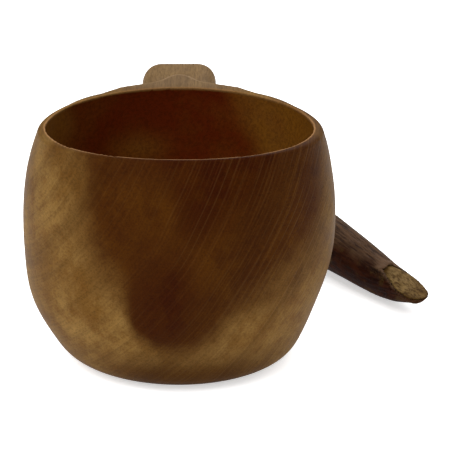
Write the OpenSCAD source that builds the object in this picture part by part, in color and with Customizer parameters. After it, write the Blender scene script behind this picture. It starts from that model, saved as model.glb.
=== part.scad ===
// Kuksa: a carved wooden drinking cup with its handle, and a belt toggle on a leather lace.
// Millimetres. +Z is up, the handle points along +Y, and the origin is the centre of the base.

/* [Bowl] */
// Height of the rim at the front and at the handle, above the surface that the cup stands on
rim_h = 73.5; // [70:0.5:76]
// How much lower the rim is at its two sides
rim_dip = 1.6; // [0.8:0.1:2]
// Outer diameter at the belly, the widest part
belly_d = 95; // [94:0.5:97]
// Height where the belly begins
belly_low = 43; // [42:0.5:43.5]
// Height where the belly ends
belly_high = 44; // [44:0.5:46]
// Radius of the outer wall's curve above the belly
upper_arc_r = 85; // [80:1:95]
// Radius of the outer wall's curve below the belly
lower_arc_r = 73; // [70:1:76]
// Radius of the round between the wall and the base
base_round_r = 15; // [13:1:16]
// Thickness of the wall at the belly
belly_wall = 4.9; // [4.5:0.1:5.4]
// Thickness of the floor
floor_t = 8; // [6:0.5:10]

/* [Handle] */
// Full width of the handle at the finger hole
handle_w = 24; // [22:0.5:26]
// Diameter of the finger hole
finger_hole_d = 22; // [19:0.5:22]
// Diameter of the lace hole in the handle's tail
lace_hole_d = 5; // [4.5:0.5:6]

/* [Lace] */
// Diameter of the leather lace
lace_d = 3; // [2.5:0.1:3]
// Widest diameter of each knot
knot_d = 8.4; // [7.6:0.1:8.4]

/* [Toggle] */
// Direction that the toggle points in from its tip, counted from +X
toggle_heading = 117.8; // [116:0.1:120]
// Angle of the whittled face to the toggle's length
whittle_angle = 16.4; // [14:0.2:20]
// Sideways tilt of the whittled face
whittle_tilt = 5.3; // [2:0.1:8]
// Thickness of the bark
bark_t = 0.8; // [0.6:0.1:1]
// Diameter of the lace hole through the toggle
toggle_hole_d = 4.2; // [4:0.1:5]

/* [Hidden] */
$fn = 180;
belly_r = belly_d / 2;
cavity_r = belly_r - belly_wall;
cavity_low = belly_low;
cavity_upper_r = 198;
cavity_lower_r = 64;
cavity_round_r = 20;

// Finger hole: middle, in Y and Z
finger_hole_at = [69, 46];
// Lace hole in the tail: middle, in Y and Z
lace_hole_at = [98, 56];
// Side outline of the handle from the rim, round the tail and back to the bowl, in Y and Z
handle_side = [[40, 78], [52, 76.6], [57, 74.8], [61, 72.6], [67, 69.6], [74, 66.4],
    [83, 65], [92, 67], [99, 67.2], [105, 64], [107.6, 58], [106.4, 51], [101, 46.6], [94, 45],
    [87, 40.5], [81, 33.5], [73, 28.2], [62, 25.4], [50, 23.5], [40, 21]];
// Half widths of the handle along Y, as seen from above
handle_plan = [[40, 16], [48, 13.4], [56, handle_w / 2], [69, handle_w / 2],
    [82, handle_w / 2], [90, 12.8], [97, 12.6], [102, 11.2], [106, 7.5], [107.8, 0]];
// Half widths of the handle along Z, as seen from behind
handle_back = [[14, 8], [24, 10], [33, 12.2], [50, 12.8], [78, 12.8]];

// Loop of lace through the tail, in X and Z, from the middle of the hole to the knot
loop_half = [[6, 56], [11.5, 56], [14.6, 55.2], [16.6, 52.8], [16.8, 49.5], [14.8, 45.8],
    [11, 43.2], [6, 41.6], [1.6, 40.6]];
// Middle of the knot under the tail, and its height
loop_knot_at = [0, lace_hole_at[0], 38.3];
loop_knot_h = 8;
// Route of the lace from the knot, down to the surface and over into the toggle
strand_route = [[0, 98, 33.6], [0, 98, 29], [0.2, 98, 24], [1.2, 97.8, 18.5],
    [3.2, 97.4, 13.5], [6.5, 96.6, 9], [11, 95.2, 5.2], [15.5, 93.6, 2.4],
    [20, 91.8, 1.6], [24, 90.4, 2.8], [26.8, 89.4, 6], [28.2, 88.9, 10.4],
    [29.4, 88.5, 14.8], [31.2, 88, 19.2], [34, 87.4, 23], [37.8, 86.7, 25.4],
    [41.8, 86.1, 25.9], [45.2, 85.8, 24], [47, 85.8, 20.8], [47.2, 85.8, 17],
    [47.2, 85.8, 12], [47.2, 85.8, 8], [47.2, 85.8, 4.6]];

// The toggle's hole, in X and Y, and its distance from the tip
toggle_hole_at = [47.2, 85.8];
toggle_hole_t = 68;
// Recess that hides the stopper knot under the toggle
recess_r = knot_d / 2 + 0.5;
recess_h = 5.5;
// Middle of the stopper knot, and its height
toggle_knot_z = 2.9;
toggle_knot_h = 4.6;
// Length of the toggle, and where the bark ends short of its thick end
toggle_l = 80;
bark_end = 76.5;
// Distance from the tip, radius and height of the underside along the branch
branch = [[0, 4.8, 5], [3, 4.9, 4.3], [6, 5, 3.5], [10, 5.3, 2.3], [14, 5.6, 1.2],
    [18, 6, 0.5], [22, 6.4, 0.15], [27, 6.9, 0], [34, 7.5, 0], [46, 8.4, 0], [60, 9.2, 0],
    [73, 9.9, 0], [80, 10.2, 0]];
// A point of the whittled face: distance from the tip and height
whittle_at = [0, 6.9];
// How far the wood stops short of the bark at the tip
core_start = 1;
branch_sides = 24;
branch_step = 3;

// Length of the cutters and of the handle's blanks, well past the part
reach = 120;

// A smooth curve through a list of points
function nearest(points, i) = points[min(max(i, 0), len(points) - 1)];
function between(a, b, c, d, t) = 0.5 * (2 * b + (c - a) * t
    + (2 * a - 5 * b + 4 * c - d) * t * t + (3 * b - a - 3 * c + d) * t * t * t);
function smooth(points, steps) = [
    for (i = [0 : len(points) - 2], k = [0 : steps - 1])
        between(nearest(points, i - 1), points[i], points[i + 1],
            nearest(points, i + 2), k / steps),
    points[len(points) - 1]];
function unit(v) = v / norm(v);
function turned_back(list) = [for (i = [len(list) - 1 : -1 : 0]) list[i]];

// A closed skin over rings of points, each ring clockwise as seen from the first one's side
module skin(rings) {
    sides = len(rings[0]);
    last = len(rings) - 1;
    walls = [for (i = [0 : last - 1], k = [0 : sides - 1])
        let (next = (k + 1) % sides)
        [i * sides + k, (i + 1) * sides + k, (i + 1) * sides + next, i * sides + next]];
    triangles = [for (w = walls) each [[w[0], w[1], w[2]], [w[0], w[2], w[3]]]];
    start = [for (k = [0 : sides - 1]) k];
    end = [for (k = [sides - 1 : -1 : 0]) last * sides + k];
    polyhedron(points = [for (ring = rings) each ring],
        faces = concat(triangles, [start, end]), convexity = 8);
}

// A tube with flat ends, swept along a route that never runs along Y
module tube(route, radius, sides) {
    last = len(route) - 1;
    skin([for (i = [0 : last])
        let (along = unit(route[min(i + 1, last)] - route[max(i - 1, 0)]))
        let (side = unit([0, 1, 0] - along[1] * along))
        let (up = cross(along, side))
        [for (k = [0 : sides - 1])
            route[i] + radius * (cos(360 * k / sides) * side + sin(360 * k / sides) * up)]]);
}

// Half section of a bowl-shaped body: a straight belly from z to z2, wall curves above and below
// it, and a rounded foot
module belly_outline(r, z, z2, above_r, below_r, round_r, low_z, top_z) {
    drop = z - low_z - round_r;
    foot_x = r - below_r + sqrt(pow(below_r - round_r, 2) - pow(drop, 2));
    foot_z = low_z + round_r - round_r * drop / (below_r - round_r);
    translate([0, z]) square([r, z2 - z]);
    intersection() {
        translate([r - above_r, z2]) circle(r = above_r);
        translate([0, z]) square([r + 1, top_z - z]);
    }
    intersection() {
        translate([r - below_r, z]) circle(r = below_r);
        translate([0, foot_z]) square([r + 1, top_z - foot_z]);
    }
    intersection() {
        translate([foot_x, low_z + round_r]) circle(r = round_r);
        translate([0, low_z]) square([r, 2 * round_r]);
    }
    translate([0, low_z]) square([foot_x, round_r]);
}

module cavity_outline() {
    belly_outline(cavity_r, cavity_low, belly_high, cavity_upper_r, cavity_lower_r,
        cavity_round_r, floor_t, rim_h + 5);
}

module outer_bowl() {
    rotate_extrude()
        belly_outline(belly_r, belly_low, belly_high, upper_arc_r, lower_arc_r, base_round_r, 0,
            rim_h + 4);
}

// The bowl and the handle's root are cut off by a shallow saddle: highest at the front and at the
// handle, lowest at the sides
module below_rim() {
    rim_r = belly_r - upper_arc_r + sqrt(pow(upper_arc_r, 2) - pow(rim_h - belly_high, 2));
    saddle_r = (pow(rim_r, 2) + pow(rim_dip, 2)) / (2 * rim_dip);
    translate([0, 0, rim_h - saddle_r]) rotate([90, 0, 0])
        cylinder(h = 3 * reach, r = saddle_r, center = true, $fn = 1080);
}

// The handle is what its side, plan and back outlines have in common
module handle() {
    side = smooth(handle_side, 4);
    plan = smooth(handle_plan, 4);
    back = handle_back;
    intersection() {
        rotate([90, 0, 90])
            linear_extrude(height = reach, center = true) polygon(side);
        linear_extrude(height = reach)
            polygon(concat([for (p = plan) [p[1], p[0]]],
                [for (p = turned_back(plan)) if (p[1] > 0) [-p[1], p[0]]]));
        rotate([90, 0, 0])
            linear_extrude(height = 2 * reach, center = true)
                polygon(concat([for (p = back) [p[1], p[0]]],
                    [for (p = turned_back(back)) [-p[1], p[0]]]));
    }
}

module cross_hole(at, d) {
    translate([0, at[0], at[1]]) rotate([0, 90, 0]) cylinder(h = reach, d = d, center = true);
}

module cup() {
    color([0.42, 0.26, 0.11]) difference() {
        intersection() {
            union() {
                outer_bowl();
                handle();
            }
            below_rim();
        }
        rotate_extrude() cavity_outline();
        cross_hole(finger_hole_at, finger_hole_d);
        cross_hole(lace_hole_at, lace_hole_d);
    }
}

module lace_loop() {
    y = lace_hole_at[0];
    right = [for (p = loop_half) [p[0], y, p[1]]];
    left = [for (p = turned_back(loop_half)) [-p[0], y, p[1]]];
    color([0.3, 0.18, 0.1])
        tube(concat(left, [[0, y, lace_hole_at[1]]], right), lace_d / 2, 8);
}

// A knot, as a solid of revolution with bulging turns
module knot(turns, h) {
    steps = 6 * turns;
    inner_r = 0.78 * knot_d / 2;
    bulge = knot_d / 2 - inner_r;
    wall = [for (i = [0 : steps])
        [inner_r + bulge * abs(sin(180 * turns * i / steps)), h * (i / steps - 0.5)]];
    rotate_extrude() polygon(concat([[0, -h / 2]], wall, [[0, h / 2]]));
}

module loop_knot() {
    color([0.26, 0.15, 0.08]) translate(loop_knot_at) knot(2, loop_knot_h);
}

module lace_strand() {
    color([0.3, 0.18, 0.1]) tube(strand_route, lace_d / 2, 8);
}

module toggle_knot() {
    color([0.26, 0.15, 0.08])
        translate([toggle_hole_at[0], toggle_hole_at[1], toggle_knot_z]) knot(1, toggle_knot_h);
}

// The branch lies along +Y from its tip here, and its underside touches Z = 0
function branch_at(t) = let (i = max([for (k = [0 : len(branch) - 2]) if (branch[k][0] <= t) k]))
    let (span = branch[i + 1][0] - branch[i][0])
    between(nearest(branch, i - 1), branch[i], branch[i + 1], nearest(branch, i + 2),
        (t - branch[i][0]) / span);

module branch_body(from, to, inset) {
    stops = [for (t = [from : branch_step : to - branch_step / 2]) t, to];
    skin([for (t = stops)
        let (b = branch_at(max(t, 0)))
        let (r = b[1] - inset)
        [for (k = [0 : branch_sides - 1])
            let (a = 360 * (k + 0.5) / branch_sides)
            [r * cos(a), t, b[2] + b[1] - r * sin(a)]]]);
}

// What the knife takes off above the whittled face
module whittled_away() {
    translate([0, whittle_at[0], whittle_at[1]]) rotate([whittle_angle, -whittle_tilt, 0])
        translate([-reach / 2, -reach / 2, 0]) cube(reach);
}

// Puts the toggle in its place beside the handle
module placed() {
    translate([toggle_hole_at[0], toggle_hole_at[1], 0]) rotate([0, 0, toggle_heading - 90])
        translate([0, -toggle_hole_t, 0]) children();
}

module lace_passage() {
    translate([0, toggle_hole_t, -1]) cylinder(h = reach, d = toggle_hole_d);
    translate([0, toggle_hole_t, -1]) cylinder(h = 1 + recess_h, r = recess_r);
}

module toggle_core() {
    color([0.6, 0.45, 0.28]) placed() difference() {
        branch_body(core_start, toggle_l, bark_t);
        whittled_away();
        lace_passage();
    }
}

module toggle_bark() {
    color([0.25, 0.14, 0.09]) placed() difference() {
        branch_body(0, bark_end, 0);
        branch_body(core_start, toggle_l, bark_t);
        whittled_away();
        lace_passage();
    }
}

cup();
lace_loop();
loop_knot();
lace_strand();
toggle_knot();
toggle_core();
toggle_bark();
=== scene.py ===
"""The looks of a carved wooden cup and the bark-covered toggle on its leather lace.

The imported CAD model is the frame, and every visible piece is built here in its place.
Shapes are worked out in millimetres, as signed distances that are negative inside the solid,
and turned into meshes in metres.
"""
import math

import bpy
import numpy as np
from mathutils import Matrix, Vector


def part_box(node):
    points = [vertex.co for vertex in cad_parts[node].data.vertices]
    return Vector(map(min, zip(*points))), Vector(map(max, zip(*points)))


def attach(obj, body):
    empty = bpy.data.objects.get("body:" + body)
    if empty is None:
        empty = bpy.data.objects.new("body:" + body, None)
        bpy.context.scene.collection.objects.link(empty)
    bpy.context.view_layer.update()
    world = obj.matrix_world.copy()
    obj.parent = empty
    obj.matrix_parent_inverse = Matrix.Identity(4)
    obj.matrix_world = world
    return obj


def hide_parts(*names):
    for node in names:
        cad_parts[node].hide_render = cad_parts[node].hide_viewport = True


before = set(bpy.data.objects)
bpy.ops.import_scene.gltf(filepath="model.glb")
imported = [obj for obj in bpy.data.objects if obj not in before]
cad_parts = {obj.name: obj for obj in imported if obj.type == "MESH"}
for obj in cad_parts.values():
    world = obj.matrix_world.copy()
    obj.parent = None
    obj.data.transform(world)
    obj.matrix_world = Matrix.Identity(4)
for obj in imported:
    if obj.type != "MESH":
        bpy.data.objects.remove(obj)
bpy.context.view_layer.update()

MM = 0.001


def cad_mm(node):
    """The lowest and highest corner of a CAD node, in millimetres."""
    return [np.array(corner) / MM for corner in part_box(node)]


# ---------------------------------------------------------------- camera, floor and light

CAMERA_PLACE = (0.0, -0.550, 0.2234)
CAMERA_DOWN = 18.39
CAMERA_ANGLE = 13.52
# Sideways, because the cup is seen squarely from in front but stands left of the frame's middle
CAMERA_SHIFT = 0.1016
# In metres. The floor is a hair below the cup, so that the two never share a plane
FLOOR_HALF, FLOOR_Z = 4.0, -0.0001
FLOOR_GLOW = 0.55


def make_camera():
    data = bpy.data.cameras.new("camera")
    data.sensor_fit = "HORIZONTAL"
    data.angle = math.radians(CAMERA_ANGLE)
    data.shift_x = CAMERA_SHIFT
    data.clip_start, data.clip_end = 0.01, 50
    camera = bpy.data.objects.new("camera", data)
    camera.location = CAMERA_PLACE
    camera.rotation_euler = (math.radians(90 - CAMERA_DOWN), 0, 0)
    bpy.context.scene.collection.objects.link(camera)
    bpy.context.scene.camera = camera


def make_light(name, place, aim, size, power, color=(1, 1, 1)):
    data = bpy.data.lights.new(name, "AREA")
    data.shape = "DISK"
    data.size, data.energy, data.color = size, power, color
    light = bpy.data.objects.new(name, data)
    light.location = place
    light.rotation_euler = (Vector(aim) - Vector(place)).to_track_quat("-Z", "Y").to_euler()
    bpy.context.scene.collection.objects.link(light)


def make_stage():
    floor_mesh = bpy.data.meshes.new("floor")
    corners = ((-1, -1), (1, -1), (1, 1), (-1, 1))
    floor_mesh.from_pydata(
        [(x * FLOOR_HALF, y * FLOOR_HALF, FLOOR_Z) for x, y in corners], [], [(0, 1, 2, 3)])
    floor = bpy.data.objects.new("floor", floor_mesh)
    bpy.context.scene.collection.objects.link(floor)
    surface = Surface("floor_paper", roughness=0.9, specular=0.1)
    speckle = surface.noise(surface.place(), 40, detail=2)
    surface.color(surface.ramp(speckle, [(0.3, (0.88, 0.88, 0.88)), (0.7, (0.90, 0.90, 0.90))]))
    # A light table, so that shadows stay faint
    surface.shader.inputs["Emission Color"].default_value = (1, 1, 1, 1)
    surface.shader.inputs["Emission Strength"].default_value = FLOOR_GLOW
    floor_mesh.materials.append(surface.material)
    bpy.context.scene.world = studio_world()
    bpy.context.scene.view_settings.view_transform = "Standard"
    make_light("key", (-0.5, -0.55, 0.8), (0, 0, 0.03), 0.9, 6.0)
    make_light("back", (0.25, 0.7, 0.6), (0, 0, 0.05), 0.5, 1.5)


def studio_world():
    """A pale studio: bright overhead, dim round the horizon."""
    world = bpy.data.worlds.new("studio")
    world.use_nodes = True
    tree = world.node_tree
    way = tree.nodes.new("ShaderNodeTexCoord").outputs["Generated"]
    split = tree.nodes.new("ShaderNodeSeparateXYZ")
    tree.links.new(way, split.inputs[0])
    light = tree.nodes.new("ShaderNodeMapRange")
    light.interpolation_type = "SMOOTHSTEP"
    tree.links.new(split.outputs["Z"], light.inputs["Value"])
    for name, value in (("From Min", 0.0), ("From Max", 0.85), ("To Min", 0.1), ("To Max", 1.7)):
        light.inputs[name].default_value = value
    seen = tree.nodes.new("ShaderNodeLightPath").outputs["Is Camera Ray"]
    strength = tree.nodes.new("ShaderNodeMix")
    tree.links.new(seen, strength.inputs[0])
    tree.links.new(light.outputs[0], strength.inputs[2])
    strength.inputs[3].default_value = 1.0
    tree.links.new(strength.outputs[0], tree.nodes["Background"].inputs["Strength"])
    tree.nodes["Background"].inputs["Color"].default_value = (1, 1, 1, 1)
    return world


# ---------------------------------------------------------------- materials

class Surface:
    """A material whose colour, roughness and bump come from nodes. Lengths are in millimetres."""

    def __init__(self, name, roughness=0.5, specular=0.5, sheen=0.0):
        self.material = bpy.data.materials.new(name)
        self.material.use_nodes = True
        self.tree = self.material.node_tree
        self.shader = self.tree.nodes["Principled BSDF"]
        self.shader.inputs["Roughness"].default_value = roughness
        self.shader.inputs["Specular IOR Level"].default_value = specular
        self.shader.inputs["Sheen Weight"].default_value = sheen

    def node(self, kind, inputs=(), out=0, **settings):
        made = self.tree.nodes.new("ShaderNode" + kind)
        for name, value in settings.items():
            setattr(made, name, value)
        for name, value in dict(inputs).items():
            self.plug(value, made.inputs[name])
        return made.outputs[out]

    def plug(self, value, socket):
        if isinstance(value, bpy.types.NodeSocket):
            self.tree.links.new(value, socket)
        elif hasattr(socket.default_value, "__len__") and len(socket.default_value) == 4:
            socket.default_value = (*value, 1)
        else:
            socket.default_value = value

    def place(self, scale=(1, 1, 1), shift=(0, 0, 0)):
        """The point's place in the part's frame, in millimetres, scaled and shifted."""
        here = self.node("TexCoord", out=3)
        mm = self.node("VectorMath", {0: here, "Scale": 1 / MM}, operation="SCALE")
        return self.stretched(mm, scale, shift)

    def stretched(self, at, scale=(1, 1, 1), shift=(0, 0, 0)):
        return self.node("Mapping", {"Vector": at, "Location": shift, "Scale": scale})

    def noise(self, at, size, detail=3, rough=0.5, color=False):
        """Noise with features about size millimetres across, from 0 to 1."""
        return self.node("TexNoise", {
            "Vector": at, "Scale": 1.0 / size, "Detail": detail, "Roughness": rough},
            out=1 if color else 0)

    def math(self, operation, a, b=0.0):
        return self.node("Math", {0: a, 1: b}, operation=operation)

    def length(self, a, b):
        """The hypotenuse of two lengths at a right angle."""
        return self.math("SQRT", self.math("ADD", self.math("POWER", a, 2.0),
                                           self.math("POWER", b, 2.0)))

    def ramp(self, factor, stops):
        """Smooth steps between stops, each a place from 0 to 1 and a grey value or a colour."""
        made = self.tree.nodes.new("ShaderNodeValToRGB")
        made.color_ramp.interpolation = "EASE"
        elements = made.color_ramp.elements
        while len(elements) < len(stops):
            elements.new(0.5)
        for element, (where, value) in zip(elements, stops):
            element.position = where
            element.color = (*value, 1) if hasattr(value, "__len__") else (value, value, value, 1)
        self.tree.links.new(factor, made.inputs["Fac"])
        return made.outputs["Color"]

    def mix(self, factor, a, b, blend="MIX"):
        made = self.tree.nodes.new("ShaderNodeMix")
        made.data_type, made.blend_type = "RGBA", blend
        for index, value in ((0, factor), (6, a), (7, b)):
            self.plug(value, made.inputs[index])
        return made.outputs[2]

    def attribute(self, name):
        return self.node("Attribute", out=2, attribute_name=name)

    def axes(self, vector):
        made = self.tree.nodes.new("ShaderNodeSeparateXYZ")
        self.tree.links.new(vector, made.inputs[0])
        return made.outputs[0], made.outputs[1], made.outputs[2]

    def color(self, value):
        self.plug(value, self.shader.inputs["Base Color"])

    def rough(self, value):
        self.plug(value, self.shader.inputs["Roughness"])

    def bump(self, height, depth, over=None):
        """Raises the surface by height, from 0 to 1, times depth in millimetres."""
        inputs = {"Height": height, "Strength": 1.0, "Distance": depth * MM}
        if over is not None:
            inputs["Normal"] = over
        made = self.node("Bump", inputs)
        self.plug(made, self.shader.inputs["Normal"])
        return made


def srgb(red, green, blue):
    """A colour from 0 to 255 as it looks on a screen, as the linear one that shaders take."""
    return tuple(
        (c / 255 / 12.92 if c < 10 else ((c / 255 + 0.055) / 1.055) ** 2.4) for c in (red, green, blue))


# ---------------------------------------------------------------- signed distances

def ease(start, end, value):
    t = np.clip((value - start) / (end - start), 0, 1)
    return t * t * (3 - 2 * t)


def common(a, b, radius):
    """What two solids have in common, with the edge between them rounded."""
    return np.minimum(np.maximum(a, b), -radius) + np.hypot(
        np.maximum(a + radius, 0), np.maximum(b + radius, 0))


def joined(a, b, radius):
    """Two solids as one, with a fillet between them."""
    return -common(-a, -b, radius)


def smooth_line(points, steps=8):
    """A Catmull-Rom curve through a list of points."""
    p = np.array(points, float)
    p = np.vstack([p[:1], p, p[-1:]])
    t = np.linspace(0, 1, steps, endpoint=False)[:, None]
    parts = [
        0.5 * (2 * b + (c - a) * t + (2 * a - 5 * b + 4 * c - d) * t ** 2
               + (3 * b - a - 3 * c + d) * t ** 3)
        for a, b, c, d in zip(p, p[1:], p[2:], p[3:])]
    return np.vstack([*parts, p[-1:]])


def outline_distance(u, v, outline):
    """The distance to a closed outline, negative inside it."""
    best = np.full(np.broadcast(u, v).shape, np.inf)
    inside = np.zeros(best.shape, bool)
    for (au, av), (bu, bv) in zip(outline, np.roll(outline, -1, axis=0)):
        eu, ev = bu - au, bv - av
        if eu == 0 and ev == 0:
            continue
        t = np.clip(((u - au) * eu + (v - av) * ev) / (eu * eu + ev * ev), 0, 1)
        best = np.minimum(best, (u - au - t * eu) ** 2 + (v - av - t * ev) ** 2)
        if av != bv:
            inside ^= ((av > v) != (bv > v)) & (u < au + eu * (v - av) / ev)
    return np.where(inside, -1, 1) * np.sqrt(best)


def looked_up(outline, step=0.25, margin=12):
    """outline_distance for one outline as a table, which is much quicker for many points."""
    low = outline.min(0) - margin
    count = ((outline.max(0) + margin - low) / step).astype(int)
    table = outline_distance(
        low[0] + step * np.arange(count[0] + 1)[:, None],
        low[1] + step * np.arange(count[1] + 1)[None, :], outline)

    def distance(u, v):
        i = np.clip((u - low[0]) / step, 0, count[0] - 0.001)
        j = np.clip((v - low[1]) / step, 0, count[1] - 0.001)
        i, j = np.broadcast_arrays(i, j)
        i0, j0 = i.astype(int), j.astype(int)
        s, t = i - i0, j - j0
        return ((table[i0, j0] * (1 - s) + table[i0 + 1, j0] * s) * (1 - t)
                + (table[i0, j0 + 1] * (1 - s) + table[i0 + 1, j0 + 1] * s) * t)

    return distance


def wobble(x, y, z, size, seed):
    """A smooth random field of about -1 to 1, with waves about size millimetres long."""
    draw = np.random.default_rng(seed)
    total = 0.0
    for _ in range(6):
        way = draw.normal(size=3)
        way *= 2 * math.pi / size / np.linalg.norm(way) * draw.uniform(0.7, 1.4)
        total = total + np.sin(x * way[0] + y * way[1] + z * way[2] + draw.uniform(0, 6.28))
    return total / 3.2


# ---------------------------------------------------------------- from distances to meshes

def unit(v):
    return v / np.linalg.norm(v, axis=-1, keepdims=True)


def gradient(field, p, step=0.05):
    parts = []
    for axis in range(3):
        d = np.zeros(3)
        d[axis] = step
        parts.append((field(*(p + d).T) - field(*(p - d).T)) / (2 * step))
    return np.stack(parts, axis=1)


def netted(field, low, high, cell, spread=None):
    """Surface nets: points, quads and normals where the field is zero, pulled onto the surface.

    cell is the grid's step. spread moves its places, so that they can lie closer where the
    solid is thin.
    """
    low = np.array(low, float) - 2 * cell
    axes = [np.arange(a, b + 3 * cell, cell) for a, b in zip(low, high)]
    grid = np.meshgrid(*axes, indexing="ij", sparse=True)
    f = np.broadcast_to(field(*(spread(*grid) if spread else grid)), tuple(len(a) for a in axes))
    one_cell = np.eye(3, dtype=int)
    rings, crossings = [], []
    for axis in range(3):
        near, far = np.moveaxis(f, axis, 0)[:-1], np.moveaxis(f, axis, 0)[1:]
        at = np.argwhere((near < 0) != (far < 0))
        a, b = near[tuple(at.T)], far[tuple(at.T)]
        order = [axis] + [k for k in range(3) if k != axis]
        at = at[:, np.argsort(order)]
        point = at.astype(float)
        point[:, axis] += a / (a - b)
        one, two = one_cell[(axis + 1) % 3], one_cell[(axis + 2) % 3]
        ring = np.stack([at - one - two, at - two, at, at - one], axis=1)
        ring[a >= 0] = ring[a >= 0][:, ::-1]
        rings.append(ring)
        crossings.append(np.repeat(point[:, None], 4, axis=1))
    rings, crossings = np.vstack(rings), np.vstack(crossings).reshape(-1, 3)
    key = np.ravel_multi_index(tuple(rings.reshape(-1, 3).T), f.shape)
    _, index, count = np.unique(key, return_inverse=True, return_counts=True)
    index = index.ravel()
    p = np.stack([np.bincount(index, crossings[:, k]) for k in range(3)], axis=1) / count[:, None]
    p = low + cell * p
    if spread:
        p = np.stack(spread(*p.T), axis=1)
    quads = index.reshape(-1, 4)
    for turn in range(4):
        slope = gradient(field, p)
        size = (slope ** 2).sum(1)
        push = field(*p.T) / np.maximum(size, 0.05)
        p -= np.clip(push, -cell / 2, cell / 2)[:, None] * slope
        if turn < 2:
            p = relaxed(p, quads, unit(slope))
    return p, quads.tolist(), unit(gradient(field, p))


def relaxed(p, quads, normal):
    """Moves each point towards the middle of its neighbours, along the surface only."""
    total, count = np.zeros_like(p), np.zeros(len(p))
    for k in range(4):
        here, there = quads[:, k], quads[:, (k + 1) % 4]
        for a, b in ((here, there), (there, here)):
            count += np.bincount(a, minlength=len(p))
            for axis in range(3):
                total[:, axis] += np.bincount(a, p[b, axis], minlength=len(p))
    move = total / count[:, None] - p
    move -= (move * normal).sum(1)[:, None] * normal
    return p + 0.5 * move


def piece(name, points, faces, body, node, surface, values, normals=None):
    """A visible piece, in millimetres, that rides on a body and stands for a CAD node.

    values are what its material reads, one number a point under each name.
    """
    mesh = bpy.data.meshes.new(name)
    mesh.from_pydata((points * MM).tolist(), [], faces)
    mesh.shade_smooth()
    if normals is not None:
        mesh.normals_split_custom_set_from_vertices(normals.tolist())
    for key, value in values.items():
        mesh.attributes.new(key, "FLOAT", "POINT").data.foreach_set("value", value.astype(np.float32))
    mesh.materials.append(surface.material)
    made = bpy.data.objects.new(name, mesh)
    bpy.context.scene.collection.objects.link(made)
    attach(made, body)
    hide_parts(node)
    return made


# ---------------------------------------------------------------- the cup

RIM_Z = cad_mm("cup")[1][2]
BELLY_R = cad_mm("cup")[1][0]
# Heights where the belly starts and ends, radii of the wall above and below it, and the base's round
BELLY, WALL_R, BASE_ROUND = (43, 44), (85, 73), 15
# The same for the hollow, the wall's thickness at the belly and the floor's height
WALL, HOLLOW_WALL_R, HOLLOW_ROUND, FLOOR_H = 4.9, (198, 64), 20, 8
LIP_ROUND = 0.35
# The rim is a shallow saddle, lower at the sides than at the front and the handle
RIM_DIP, RIM_R = 1.6, 42.2
SADDLE_R = (RIM_R ** 2 + RIM_DIP ** 2) / (2 * RIM_DIP)
# Middle of the finger hole and of the lace hole, in Y and Z, their radii and their edges' rounding
FINGER_HOLE, FINGER_R, FINGER_ROUND = (69, 46), 11, 2.8
LACE_HOLE, LACE_HOLE_R, LACE_HOLE_ROUND = (98, 56), 2.5, 0.7
HANDLE_ROUND = 3.6
# The top of the bowl and handle, the handle's underside, and its half widths in plan and from behind
TOP_LINE = [
    (-60, 80), (0, 80), (40, 78), (52, 76.4), (57, 74.6), (61, 72.4), (67, 69.4), (74, 66.3),
    (83, 65), (92, 66.8), (99, 67.2), (105, 64), (107.6, 58)]
UNDERSIDE = [
    (107.6, 58), (106.4, 51), (101, 46.6), (94, 45), (87, 40.5), (81, 33.5), (73, 28.2),
    (62, 25.4), (50, 23.5), (40, 21), (30, 18)]
HANDLE_PLAN = [
    (30, 18), (40, 15), (48, 13), (56, 12), (69, 12), (82, 12), (90, 12.8), (97, 12.6),
    (102, 11.2), (106, 7.5), (107.8, 0)]
HANDLE_BACK = [(14, 8), (24, 10), (33, 12.2), (50, 12.8), (90, 12.8)]


def mirrored(halves):
    """A closed outline from half widths along an axis: (half width, place) all round."""
    there = [(w, at) for at, w in halves]
    return np.array(there + [(-w, at) for w, at in reversed(there)])


def vessel(r, z, belly_r, wall_r, foot_r, low_z):
    """A bowl-shaped body with no top, round Z."""
    (start, end), (above_r, below_r) = BELLY, wall_r
    drop = start - low_z - foot_r
    foot_x = belly_r - below_r + math.sqrt((below_r - foot_r) ** 2 - drop ** 2)
    above = np.hypot(r - belly_r + above_r, z - end) - above_r
    below = np.hypot(r - belly_r + below_r, z - start) - below_r
    foot = np.hypot(r - foot_x, z - low_z - foot_r) - foot_r
    past = (foot_x - belly_r + below_r) * (z - low_z - foot_r) + drop * (r - foot_x)
    wall = np.where(z >= end, above, np.where(z >= start, r - belly_r, below))
    wall = np.where((past < 0) & (r > foot_x), foot, wall)
    return np.where(r <= foot_x, np.maximum(low_z - z, wall), wall)


below_top = looked_up(np.vstack([smooth_line(TOP_LINE), [(125, 58), (125, -40), (-60, -40)]]))
above_underside = looked_up(np.vstack([smooth_line(UNDERSIDE), [(30, 110), (107.6, 110)]]))
plan_of_handle = looked_up(mirrored(smooth_line(HANDLE_PLAN)))
back_of_handle = looked_up(mirrored(HANDLE_BACK))


def cavity(x, y, z):
    return vessel(np.hypot(x, y), z, BELLY_R - WALL, HOLLOW_WALL_R, HOLLOW_ROUND, FLOOR_H)


def handle(x, y, z):
    """The handle without its top, which it shares with the bowl."""
    width = np.maximum(plan_of_handle(x, y), back_of_handle(x, z))
    return common(above_underside(y, z), width, HANDLE_ROUND)


def top(x, y, z):
    # The flat root ends in a bell-shaped crest, because it falls away sooner at the sides
    sooner = 2.65 * (np.hypot(x, 4) - 4) * (1 - ease(48, 94, y)) * ease(42.5, 52, np.hypot(x, y))
    saddle = np.hypot(x, z - RIM_Z + 0.02 + SADDLE_R) - SADDLE_R
    return common(below_top(y + sooner, z), saddle, 0.8)


def leaning(z):
    """The bowl bulges a little more to the left low down, and leans a little to the right on top."""
    return 1.3 * np.exp(-((z - 19) / 12) ** 2) - 0.3 * ease(58, 70, z)


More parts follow.
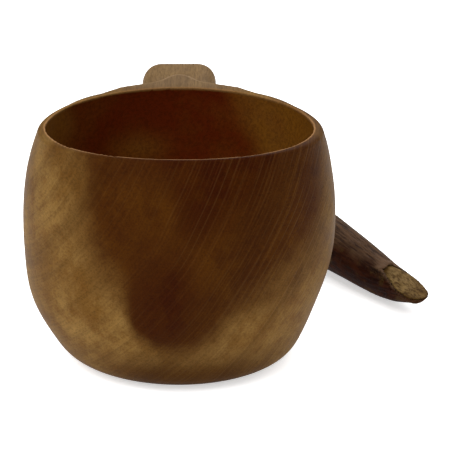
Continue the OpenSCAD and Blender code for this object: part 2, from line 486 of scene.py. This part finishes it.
def hollow(x, y, z):
    """The hollow as it was carved. It leaves the rim thicker at the sides."""
    side = x * x / np.maximum(x * x + y * y, 1)
    inside = cavity(x + 0.3 * leaning(z), y, z) - 0.12 * wobble(x, y, z, 34, 4)
    return inside - 0.4 * ease(60, 73, z) + 0.9 * side * ease(46, 73, z)


def cup_field(x, y, z):
    outer = vessel(np.hypot(x + leaning(z), y), z, BELLY_R, WALL_R, BASE_ROUND, 0)
    outer = outer + 0.06 * (1 + wobble(x, y, z, 46, 3)) * ease(0, 8, z) + 0.15 * ease(64, 72, z)
    # A little fuller low down and at the very base
    fuller = 0.35 * np.exp(-((z - 22) / 12) ** 2) + 0.3 * np.exp(-((z - 3) / 3) ** 2)
    outer = np.maximum(outer - fuller, -z)
    # The handle grows out of the bowl, with a fillet that is widest at the top
    grip = handle(x, y, z) + 0.15 * wobble(x, y, z, 17, 5)
    body = joined(outer, grip, 4.5 + 14.0 * ease(57, 70, z))
    # The top edge is sharp round the rim, softer at its sides and well rounded along the handle
    away = ease(43, 60, np.hypot(x, y)) * ease(20, 44, y)
    side = ease(0.2, 1.0, x * x / np.maximum(x * x + y * y, 1))
    edge = LIP_ROUND + 0.9 * side + away * (2.2 + 3.2 * ease(62, 90, y))
    body = common(body, top(x, y, z), edge)
    body = common(body, -hollow(x, y, z), LIP_ROUND)
    finger = FINGER_R - np.hypot(y - FINGER_HOLE[0], z - FINGER_HOLE[1])
    body = common(body, finger, FINGER_ROUND)
    lace = LACE_HOLE_R - np.hypot(y - LACE_HOLE[0], z - LACE_HOLE[1])
    return common(body, lace, LACE_HOLE_ROUND)


def closer_at_lip(x, y, z):
    """Grid places for the cup, closer together across the bowl's wall and near its rim."""
    r = np.maximum(np.hypot(x, y), 1)
    scale = 1 - np.clip(r - 37, 0, 16) / 2 / r
    return x * scale, y * scale, z - 0.4 * np.clip(z - 66, 0, 14)


def curvature(field, p, step=0.9):
    """How strongly a surface bends, from its distance field: 2 / radius on a ball."""
    total = -6 * field(*p.T)
    for axis in range(3):
        d = np.zeros(3)
        d[axis] = step
        total = total + field(*(p + d).T) + field(*(p - d).T)
    return total / step ** 2


# Where the dark heartwood shows, seen from the front, in X and Z, and its two darkest places
HEART = [
    (-31, 84), (-30, 70), (-29, 62), (-28, 51), (-25, 43), (-21, 37), (-18, 30), (-14, 23), (-9.5, 18),
    (-3, 15.5), (5, 14), (10, 19), (15, 24), (20, 28), (28, 31), (36, 35), (45, 42), (50, 54), (49, 68),
    (46, 84)]
INSIDE = [
    (-36, 84), (-35, 66), (-33, 52), (-26, 40), (-14, 30), (0, 26), (14, 28), (24, 38), (27, 50),
    (23, 58), (19, 66), (17, 74), (17, 84)]
DARKEST = [
    [(-8, 80), (-8, 71), (-2, 65), (3, 58), (7, 52), (13, 55), (22, 62), (29, 66), (34, 80)],
    [(3, 47), (4, 34), (2, 24), (-2, 19), (-8, 20), (-13, 25), (-14, 32), (-10, 38), (-4, 44)]]


def patch(x, z, outline, width):
    """1 inside an outline and 0 outside it, with a soft edge of that width."""
    return ease(width / 2, -width / 2, outline_distance(x, z, np.array(outline, float)))


def heartwood(p, inner):
    """How much each point of the cup is heartwood, and how much of it is the darkest kind."""
    x, y, z = p.T
    # The right-hand edge slants inwards towards the handle
    across = x + 0.2 * np.clip(y + 40, 0, 90) * ease(0, 20, x)
    across = across + 1.4 * wobble(x, y * 0.4, z, 17, 41) + 0.4 * wobble(x, y * 0.4, z, 6, 42)
    up = z + 1.4 * wobble(x, y * 0.4, z, 16, 43) + 0.4 * wobble(x, y * 0.4, z, 6, 44)
    soft = 6 + 12 * ease(22, 44, z) + 12 * ease(-8, 18, x) * ease(60, 40, z)
    heart = patch(across, up, HEART, soft) * (1 - 0.9 * ease(0, 38, y))
    # Inside, the heartwood ends sooner at the right, and a golden patch shows at the lower left
    within = patch(x + 1.5 * wobble(x, y, z, 13, 45), up, INSIDE, 9)
    within = within * (1 - 0.7 * np.exp(-((x + 13) / 9) ** 2 - ((z - 53) / 5) ** 2))
    heart = np.where(inner > 0.5, within, heart)
    dark = np.maximum(patch(across, up, DARKEST[0], 15), patch(across, up, DARKEST[1], 12))
    return heart, dark * heart


def make_cup():
    low, high = cad_mm("cup")
    # The grid starts out larger by as much as closer_at_lip draws it in
    p, quads, normals = netted(cup_field, low - (8, 8, 0), high + (8, 8, 5.6), 1.0, closer_at_lip)
    r = np.hypot(p[:, 0], p[:, 1])
    rim = RIM_Z - p[:, 0] ** 2 / (2 * SADDLE_R) - p[:, 2]
    inner = ease(-1.4, -0.3, -np.abs(cavity(*p.T))) * ease(0.1, 1.2, rim)
    # A highlight is painted pale along the rim's inner edge, most of all in front
    off = hollow(*p.T)
    lip_highlight = (1 - 0.7 * ease(-20, 30, p[:, 1])) * ease(0.8, 0.3, rim)
    lip_highlight = lip_highlight * ease(0.75, 0.3, off) * ease(-0.5, -0.1, off)
    # Edges that hands and lips have worn
    wear = ease(0.12, 0.45, curvature(cup_field, p)) * ease(43.5, 46, r)
    heart, dark = heartwood(p, inner)
    # Shade is painted on the wood low down in front, near the floor, and the handle is paler
    foot = 0.95 * ease(19, 6, p[:, 2]) * ease(38, 8, np.abs(p[:, 0] - 4))
    tail = ease(34, 46, p[:, 1]) * ease(40, 62, p[:, 2])
    values = {"inner": inner, "lip_highlight": lip_highlight, "wear": wear, "heart": heart, "dark": dark,
              "foot": foot, "tail": tail}
    piece("cup_carved", p, quads, "cup", "cup", cup_wood(), values, normals)


# The line along Y that the growth layers lie round, in X and Z, and their radians a millimetre
PITH, LAYER_RATE = (-170, 154), 3.1


def cup_wood():
    s = Surface("cup_wood", roughness=0.6, specular=0.02)
    at = s.place()
    # Growth layers, nearly flat and a little uneven
    bend = s.noise(s.place((1, 0.3, 1)), 34, detail=1, color=True)
    bend = s.node("VectorMath", {0: bend, 1: (0.5, 0.5, 0.5)}, operation="SUBTRACT")
    bend = s.node("VectorMath", {0: bend, "Scale": 4.0}, operation="SCALE")
    wx, wy, wz = s.axes(s.node("VectorMath", {0: at, 1: bend}, operation="ADD"))
    ring = s.length(s.math("SUBTRACT", wx, PITH[0]), s.math("SUBTRACT", wz, PITH[1]))
    layers = s.node("CombineXYZ", {"X": ring, "Y": s.math("MULTIPLY", wy, 0.03), "Z": 0.0})
    # Thin pale lines where the layers meet the surface, each fading in and out
    uneven = s.math("MULTIPLY", s.noise(layers, 9.0, detail=2), 5.0)
    wave = s.math("SINE", s.math("MULTIPLY", s.math("ADD", ring, uneven), LAYER_RATE))
    line = s.math("MULTIPLY", s.ramp(wave, [(0.72, 0.0), (0.99, 1.0)]),
                  s.ramp(s.noise(layers, 2.0, detail=1), [(0.35, 0.1), (0.65, 1.0)]))
    here = s.ramp(s.noise(at, 17, detail=2), [(0.32, 0.25), (0.55, 1.0)])
    right = s.node("MapRange", {"Value": wx, "From Min": -24.0, "From Max": 34.0, "To Min": 0.2})
    line = s.math("MULTIPLY", s.math("MULTIPLY", line, here), right)
    broad = s.noise(layers, 5.0, detail=3)
    hatch = s.noise(layers, 0.7, detail=3, rough=0.7)
    fibre = s.noise(s.place((1, 0.06, 1)), 0.55, detail=3, rough=0.65)
    cloud = s.noise(at, 15, detail=5, rough=0.6)
    blotch = s.noise(s.place(shift=(7, 3, 11)), 6.5, detail=4, rough=0.6)
    pale = s.mix(s.ramp(cloud, [(0.32, 0.0), (0.68, 1.0)]), srgb(92, 63, 24), srgb(117, 89, 46))
    pale = s.mix(s.ramp(blotch, [(0.5, 0.0), (0.68, 0.45)]), pale, srgb(82, 50, 14))
    # Painted shade low down in front, near the floor
    pale = s.mix(s.attribute("foot"), pale, srgb(60, 34, 5))
    # The handle's top is paler and greyer
    pale = s.mix(s.math("MULTIPLY", s.attribute("tail"), 0.6), pale, srgb(118, 98, 72))
    brown = s.mix(s.ramp(cloud, [(0.35, 0.0), (0.65, 1.0)]), srgb(52, 23, 1), srgb(63, 33, 3))
    brown = s.mix(s.ramp(blotch, [(0.48, 0.0), (0.66, 0.5)]), brown, srgb(46, 18, 1))
    deep = s.mix(s.ramp(blotch, [(0.4, 0.0), (0.65, 1.0)]), srgb(42, 11, 0), srgb(49, 19, 0))
    base = s.mix(s.attribute("heart"), pale, s.mix(s.attribute("dark"), brown, deep))
    base = s.mix(s.ramp(broad, [(0.42, 0.0), (0.62, 0.2)]), base, srgb(40, 18, 1))
    base = s.mix(s.ramp(hatch, [(0.35, 0.16), (0.6, 0.0)]), base, srgb(32, 13, 1))
    base = s.mix(s.math("MULTIPLY", s.ramp(hatch, [(0.52, 0.0), (0.72, 0.12)]), right), base,
                 srgb(118, 84, 40))
    base = s.mix(s.ramp(fibre, [(0.3, 0.3), (0.6, 0.0)]), base, srgb(90, 60, 30), "MULTIPLY")
    base = s.mix(s.math("MULTIPLY", line, 0.1), base, srgb(120, 88, 48))
    inside = s.mix(s.attribute("heart"), srgb(108, 66, 15), srgb(80, 25, 4))
    inside = s.mix(s.ramp(cloud, [(0.4, 0.0), (0.68, 0.6)]), inside, srgb(88, 44, 8))
    pores = s.noise(at, 1.1, detail=3, rough=0.7)
    inside = s.mix(s.ramp(pores, [(0.34, 0.4), (0.6, 0.0)]), inside, srgb(44, 14, 2))
    base = s.mix(s.math("MULTIPLY", s.attribute("inner"), 0.85), base, inside)
    base = s.mix(s.math("MULTIPLY", s.attribute("wear"), 0.45), base, srgb(134, 108, 78))
    # Painted highlight along the rim's inner edge
    base = s.mix(s.math("MULTIPLY", s.attribute("lip_highlight"), 0.9), base, srgb(150, 110, 70))
    s.color(base)
    s.rough(s.ramp(cloud, [(0.3, 0.5), (0.75, 0.62)]))
    s.bump(fibre, 0.06, s.bump(hatch, 0.05, s.bump(line, 0.04)))
    return s


# ---------------------------------------------------------------- the toggle

# Where the lace goes through it, in X and Y, the distance of that hole from the tip, and the
# direction that the toggle points in from its tip, counted from +X
TOGGLE_HOLE, TOGGLE_HOLE_T, TOGGLE_HEADING = (47.2, 85.8), 68, math.radians(117.8)
TOGGLE_HOLE_R = 2.1
# The stopper knot's recess in the underside
RECESS_R, RECESS_H = 4.7, 5.5
TOGGLE_L, BARK_END = 80, 76.5
TIP_ROUND = 4.6
# Distance from the tip where the knife stopped and left a flap of bark
FLAP_T = 18.6
# Between the wood and its bark, so that the two never share a surface
CLEARANCE = 0.02
# The whittled face: its height at the tip, and its slopes along the toggle and across it
WHITTLE = (6.9, math.tan(math.radians(15.6)), math.tan(math.radians(5.3)))
# Distance from the tip, radius, and height of the underside
BRANCH = smooth_line([
    (-3, 4.7, 5.8), (0, 4.8, 5), (3, 4.9, 4.3), (6, 5, 3.5), (10, 5.3, 2.3), (14, 5.6, 1.2),
    (18, 6, 0.5), (22, 6.4, 0.15), (27, 6.9, 0), (34, 7.5, 0), (46, 8.4, 0), (60, 9.2, 0),
    (73, 9.9, 0), (84, 10.3, 0)])


def along_toggle(x, y):
    """Distance from the toggle's tip along it, and to its side."""
    dx, dy = x - TOGGLE_HOLE[0], y - TOGGLE_HOLE[1]
    ahead, aside = math.cos(TOGGLE_HEADING), math.sin(TOGGLE_HEADING)
    return TOGGLE_HOLE_T + dx * ahead + dy * aside, dx * aside - dy * ahead


def branch(t, s, z, inset, uneven):
    """A branch with a round tip on the floor, thinner by inset and by up to uneven."""
    body_t = np.maximum(t, TIP_ROUND)
    radius = np.interp(body_t, BRANCH[:, 0], BRANCH[:, 1])
    middle = radius + np.interp(body_t, BRANCH[:, 0], BRANCH[:, 2])
    dent = uneven * (0.5 + 0.4 * wobble(t, s * 1.5, z * 1.5, 24, 8))
    return np.hypot(np.hypot(s, z - middle), body_t - t) - radius + inset + dent


def bark_t(t):
    """Thickness of the bark, which is worn thin at the tip."""
    return 0.4 + 0.4 * ease(4, 24, t)


def whittled(t, s, z):
    """Above the sloping face that the knife left, in a few shallow cuts."""
    # Each further cut tilts towards a side, by radians, from a line that far off the middle
    height, along, across = WHITTLE
    face = (z - height - along * t - across * s) / math.hypot(1, along)
    cuts = face
    for side, tilt, start in ((1, 0.16, 1.4), (-1, 0.14, 2.0)):
        cuts = np.maximum(cuts, face * math.cos(tilt) + (side * s - start) * math.sin(tilt))
    ripple = np.sin(t * 0.9 + s * 0.8) * np.sin(t * 0.35 + 1)
    return cuts + 0.07 * ripple


def lace_way(t, s, z, solid):
    """The solid with the lace's hole through it, and the knot's recess below."""
    off = np.hypot(t - TOGGLE_HOLE_T, s)
    solid = common(solid, TOGGLE_HOLE_R - off, 0.4)
    recess = np.maximum(off - RECESS_R, z - RECESS_H)
    return common(solid, -recess, 0.3)


def core_field(x, y, z):
    t, s = along_toggle(x, y)
    solid = branch(t, s, z, bark_t(t) + CLEARANCE, 0.3 * ease(2, 20, t))
    solid = common(solid, t - TOGGLE_L, 0.9)
    solid = common(solid, whittled(t, s, z), 0.2)
    return lace_way(t, s, z, solid)


def bark_relief(t, s, z):
    """Fine lengthwise wrinkles and small raised pores, in millimetres."""
    around = np.arctan2(s, z - 8)
    wrinkles = wobble(t * 0.12, around * 6, around * 3, 1.9, 21)
    pores = np.maximum(wobble(t * 1.6, around * 3.0, z * 0.2, 3.4, 22) - 0.9, 0)
    return 0.07 * wrinkles - 0.2 * pores


def bark_field(x, y, z):
    t, s = along_toggle(x, y)
    # The flap stands up over the face, with an uneven edge
    off = s + 2.6
    stop = FLAP_T + np.where(off > 0, 1.2 * (1 - np.exp(-(off / 1.8) ** 2)), 0.7 * off ** 2)
    curl = 0.45 * ease(3.5, 0.2, t - stop) * ease(-5.2, -3.8, s) * ease(2.5, 0.5, s)
    curl = curl * ease(2.5, 5, z - 6)
    uneven = 0.3 * ease(2, 20, t)
    outer = branch(t, s, z, 0.08, uneven) + bark_relief(t, s, z) * ease(0.3, 1.5, z) - curl
    inner = branch(t, s, z, bark_t(t), uneven) - 0.85 * curl
    shell = common(outer, -inner, 0.2)
    ragged = 0.5 * wobble(t, s, z, 5.5, 31)
    shell = common(shell, t - BARK_END + ragged, 0.3)
    cut = whittled(t, s, z) + 0.1 + 0.08 * wobble(t, s, z, 4.5, 32) + 0.4 * ease(1, 4, s)
    past = stop - t + 0.15 * wobble(t, s, z, 2.4, 33)
    shell = common(shell, np.minimum(cut, past), 0.2)
    return lace_way(t, s, z, shell)


def make_toggle():
    low, high = cad_mm("toggle_core")
    p, quads, normals = netted(core_field, low, high, 0.45)
    t, s = along_toggle(p[:, 0], p[:, 1])
    face = ease(-0.3, -0.05, whittled(t, s, p[:, 2]))
    end = ease(TOGGLE_L - 0.9, TOGGLE_L - 0.1, t)
    middle = np.interp(t, BRANCH[:, 0], BRANCH[:, 1] + BRANCH[:, 2])
    values = {"along": t, "across": s, "above": p[:, 2] - middle, "face": face, "end": end}
    piece("toggle_core_cut", p, quads, "toggle", "toggle_core", toggle_wood(),
          values, normals)
    low, high = cad_mm("toggle_bark")
    p, quads, normals = netted(bark_field, low, high, 0.4)
    t, s = along_toggle(p[:, 0], p[:, 1])
    middle = np.interp(t, BRANCH[:, 0], BRANCH[:, 1] + BRANCH[:, 2])
    cut = ease(-1.0, -0.2, whittled(t, s, p[:, 2])) * ease(5, 9, t)
    inside = ease(0.35, 0.6, -branch(t, s, p[:, 2], 0.12, 0.3))
    values = {"along": t, "across": s, "above": p[:, 2] - middle, "cut": cut, "inside": inside,
              "worn": ease(11, 6, t)}
    piece("toggle_bark_skin", p, quads, "toggle", "toggle_bark", bark(), values, normals)


def along_the_branch(s):
    """The point's place along, across and above the toggle's middle line, in millimetres."""
    return s.node("CombineXYZ", {"X": s.attribute("along"), "Y": s.attribute("across"),
                                 "Z": s.attribute("above")})


def toggle_wood():
    s = Surface("toggle_wood", roughness=0.6, specular=0.03)
    at = along_the_branch(s)
    fibre = s.noise(s.stretched(at, (0.07, 1, 1)), 0.8, detail=4, rough=0.65)
    cloud = s.noise(at, 5, detail=3)
    dirt = s.noise(at, 2.2, detail=4, rough=0.6)
    _, across, above = s.axes(at)
    ring = s.length(across, above)
    rings = s.noise(s.node("CombineXYZ", {"X": ring, "Y": 0.0, "Z": 0.0}), 0.9, detail=2)
    base = s.mix(s.ramp(cloud, [(0.35, 0.0), (0.65, 1.0)]), srgb(74, 53, 22), srgb(108, 86, 50))
    base = s.mix(s.ramp(fibre, [(0.35, 0.8), (0.58, 0.0)]), base, srgb(46, 29, 10))
    base = s.mix(s.math("MULTIPLY", s.ramp(rings, [(0.45, 0.0), (0.6, 0.6)]), s.attribute("end")),
                 base, srgb(46, 26, 10))
    base = s.mix(s.ramp(dirt, [(0.5, 0.0), (0.72, 0.6)]), base, srgb(46, 22, 6))
    s.color(base)
    s.rough(s.ramp(fibre, [(0.3, 0.7), (0.7, 0.55)]))
    s.bump(fibre, 0.12)
    return s


def bark():
    s = Surface("bark", roughness=0.55, specular=0.02)
    at = along_the_branch(s)
    _, across, above = s.axes(at)
    streak = s.noise(s.stretched(at, (0.1, 1, 1)), 0.9, detail=4, rough=0.65)
    spot = s.noise(s.stretched(at, (0.5, 1, 1)), 2.6, detail=4, rough=0.6)
    patch = s.noise(at, 7, detail=3)
    # Painted light: the bark is painted greyish on top, where light falls from above, over its dark
    # red-brown
    high = s.math("ADD", above, s.math("MULTIPLY", s.math("SUBTRACT", patch, 0.5), 7.0))
    painted_top_light = s.node("MapRange", {"Value": high, "From Min": 2.6, "From Max": 6.6},
                  interpolation_type="SMOOTHSTEP")
    base = s.mix(s.ramp(spot, [(0.38, 0.0), (0.62, 1.0)]), srgb(30, 8, 2), srgb(48, 20, 6))
    olive = s.noise(s.stretched(at, shift=(9, 4, 2)), 3.1, detail=4)
    olive = s.ramp(olive, [(0.55, 0.0), (0.7, 0.8)])
    base = s.mix(olive, base, srgb(58, 42, 16))
    # Painted top light, greyish on the bark's upper side
    base = s.mix(painted_top_light, base, s.mix(streak, srgb(38, 24, 15), srgb(88, 64, 44)))
    base = s.mix(s.ramp(streak, [(0.36, 0.7), (0.52, 0.0)]), base, srgb(22, 9, 5))
    base = s.mix(s.math("MULTIPLY", s.attribute("cut"), 0.55), base, srgb(96, 74, 56))
    base = s.mix(s.attribute("inside"), base, srgb(40, 20, 10))
    base = s.mix(s.math("MULTIPLY", s.attribute("worn"), 0.6), base, srgb(64, 40, 18))
    s.color(base)
    s.rough(s.ramp(spot, [(0.3, 0.45), (0.7, 0.65)]))
    s.bump(streak, 0.3, s.bump(spot, 0.15))
    return s


# ---------------------------------------------------------------- the lace

LACE_R = 1.5
# The lace is pulled a little thinner in its knots
KNOT_R, KNOTTED_R = 4.2, 0.98 * LACE_R
# Between the rings of a lace, along it, and how its last rings draw in
LACE_STEP = 0.6
ROUND_END = (0.55, 0.85, 0.97, 1.0)
# A direction that no lace sets out in
NOT_ALONG = (0.1, 0.2, 1.0)
# Half of the loop, in X and Z, from the tail's hole down to the knot
LOOP_HALF = [
    (6, 56), (11.5, 56), (14.6, 55.2), (16.6, 52.8), (16.8, 49.5), (14.8, 45.8), (11, 43.2),
    (6, 41.6), (1.6, 40.6)]
# From inside the loop's knot to the floor, along it, and down through the toggle's hole
STRAND_START = (0, 98, 35.4)
STRAND_ROUTE = [
    (0, 98, 33.6), (0, 98, 29), (0.2, 98, 24), (1.2, 97.8, 18.5), (3.2, 97.4, 13.5),
    (6.5, 96.6, 9), (11, 95.2, 5.2), (15.5, 93.6, 2.4), (20, 91.8, 1.6), (24, 90.4, 2.8),
    (26.8, 89.4, 6), (28.2, 88.9, 10.4), (29.4, 88.5, 14.8), (31.2, 88, 19.2), (34, 87.4, 23),
    (37.8, 86.7, 25.4), (41.8, 86.1, 25.9), (45.2, 85.8, 24), (47, 85.8, 20.8),
    (47.2, 85.8, 17), (47.2, 85.8, 12), (47.2, 85.8, 8), (47.2, 85.8, 4.6)]


def spaced_line(points, step):
    """A smooth curve through the points, with new points about step apart."""
    fine = smooth_line(points, 24)
    run = np.concatenate([[0], np.cumsum(np.linalg.norm(np.diff(fine, axis=0), axis=1))])
    at = np.linspace(0, run[-1], max(3, round(run[-1] / step)) + 1)
    return np.stack([np.interp(at, run, fine[:, k]) for k in range(3)], axis=1)


def tube(path, radius, sides=20, twist=0.0, flat=0.0):
    """A round-ended tube along a path: its points and faces, and 1 or -1 at its two edges.

    A flattened one turns by twist radians a millimetre.
    """
    tangent = unit(np.gradient(path, axis=0))
    side = unit(np.cross(tangent[0], NOT_ALONG))
    points, run = [], 0.0
    angles = 2 * math.pi * np.arange(sides) / sides
    for i, (here, way) in enumerate(zip(path, tangent)):
        side = unit(side - side @ way * way)
        other = np.cross(way, side)
        run += np.linalg.norm(here - path[max(i - 1, 0)])
        turned = angles + twist * run
        size = radius * (1 - flat * np.sin(angles) ** 2)
        ends = min(i, len(path) - 1 - i)
        size = size * ROUND_END[min(ends, len(ROUND_END) - 1)]
        points.append(here + size[:, None] * (np.cos(turned)[:, None] * side
                                              + np.sin(turned)[:, None] * other))
    rings = np.arange(len(path) * sides).reshape(-1, sides)
    quads = np.stack([rings[:-1], np.roll(rings[:-1], -1, 1), np.roll(rings[1:], -1, 1), rings[1:]],
                     axis=2).reshape(-1, 4)
    faces = quads.tolist() + [rings[0][::-1].tolist(), rings[-1].tolist()]
    return np.vstack(points), faces, np.tile(np.cos(angles), len(path))


def lace_piece(name, path, body, node, leather, radius=LACE_R, **shape):
    points, faces, edge = tube(path, radius, **shape)
    return piece(name, points, faces, body, node, leather, {"edge": edge})


def wound(low, high, turns):
    """A lace wound into a knot round Z between two heights, both ends tucked in."""
    middle, height = (low + high) / 2, high[2] - low[2]
    k = np.linspace(0, 1, int(turns * 16) + 12)
    r = (KNOT_R - LACE_R) * np.minimum(1, 0.25 + 5 * np.minimum(k, 1 - k))
    a = 2 * math.pi * turns * k
    z = middle[2] + (height / 2 - LACE_R) * (1 - ease(0, 1, k) - k)
    return np.stack([middle[0] + r * np.cos(a), middle[1] + r * np.sin(a), z], axis=1)


def make_lace():
    leather = lace_leather()
    y = LACE_HOLE[0]
    right = [(x, y, z) for x, z in LOOP_HALF]
    left = [(-x, y, z) for x, z in reversed(LOOP_HALF)]
    loop_path = spaced_line(left + [(0, y, LACE_HOLE[1])] + right, LACE_STEP)
    loop = lace_piece("lace_loop_leather", loop_path, "cup", "lace_loop", leather, flat=0.12,
                      twist=0.03)
    low, high = cad_mm("loop_knot")
    loop_knot = lace_piece("loop_knot_leather", wound(low, high, 2.3), "cup", "loop_knot",
                           leather, radius=KNOTTED_R)
    strand_path = spaced_line([STRAND_START] + STRAND_ROUTE, LACE_STEP)
    strand = lace_piece("lace_strand_leather", strand_path, "lace", "lace_strand", leather,
                        flat=0.12, twist=0.03)
    low, high = cad_mm("toggle_knot")
    toggle_knot = lace_piece("toggle_knot_leather", wound(low, high, 1.5), "lace", "toggle_knot",
                             leather, radius=KNOTTED_R)


def lace_leather():
    s = Surface("lace_leather", roughness=0.65, specular=0.2, sheen=0.1)
    grain = s.node("TexVoronoi", {"Vector": s.place(), "Scale": 2.2}, feature="DISTANCE_TO_EDGE")
    cloud = s.noise(s.place(), 3.0, detail=4)
    base = s.mix(cloud, srgb(44, 24, 12), srgb(92, 58, 34))
    # The raw edge of the thong is paler than its dressed face
    edge = s.ramp(s.math("ABSOLUTE", s.attribute("edge")), [(0.8, 0.0), (1.0, 0.5)])
    base = s.mix(edge, base, srgb(128, 92, 62))
    s.color(base)
    s.rough(s.ramp(cloud, [(0.3, 0.55), (0.7, 0.75)]))
    s.bump(grain, 0.12)
    return s


# ---------------------------------------------------------------- what is made

make_camera()
make_stage()
make_cup()
make_toggle()
make_lace()
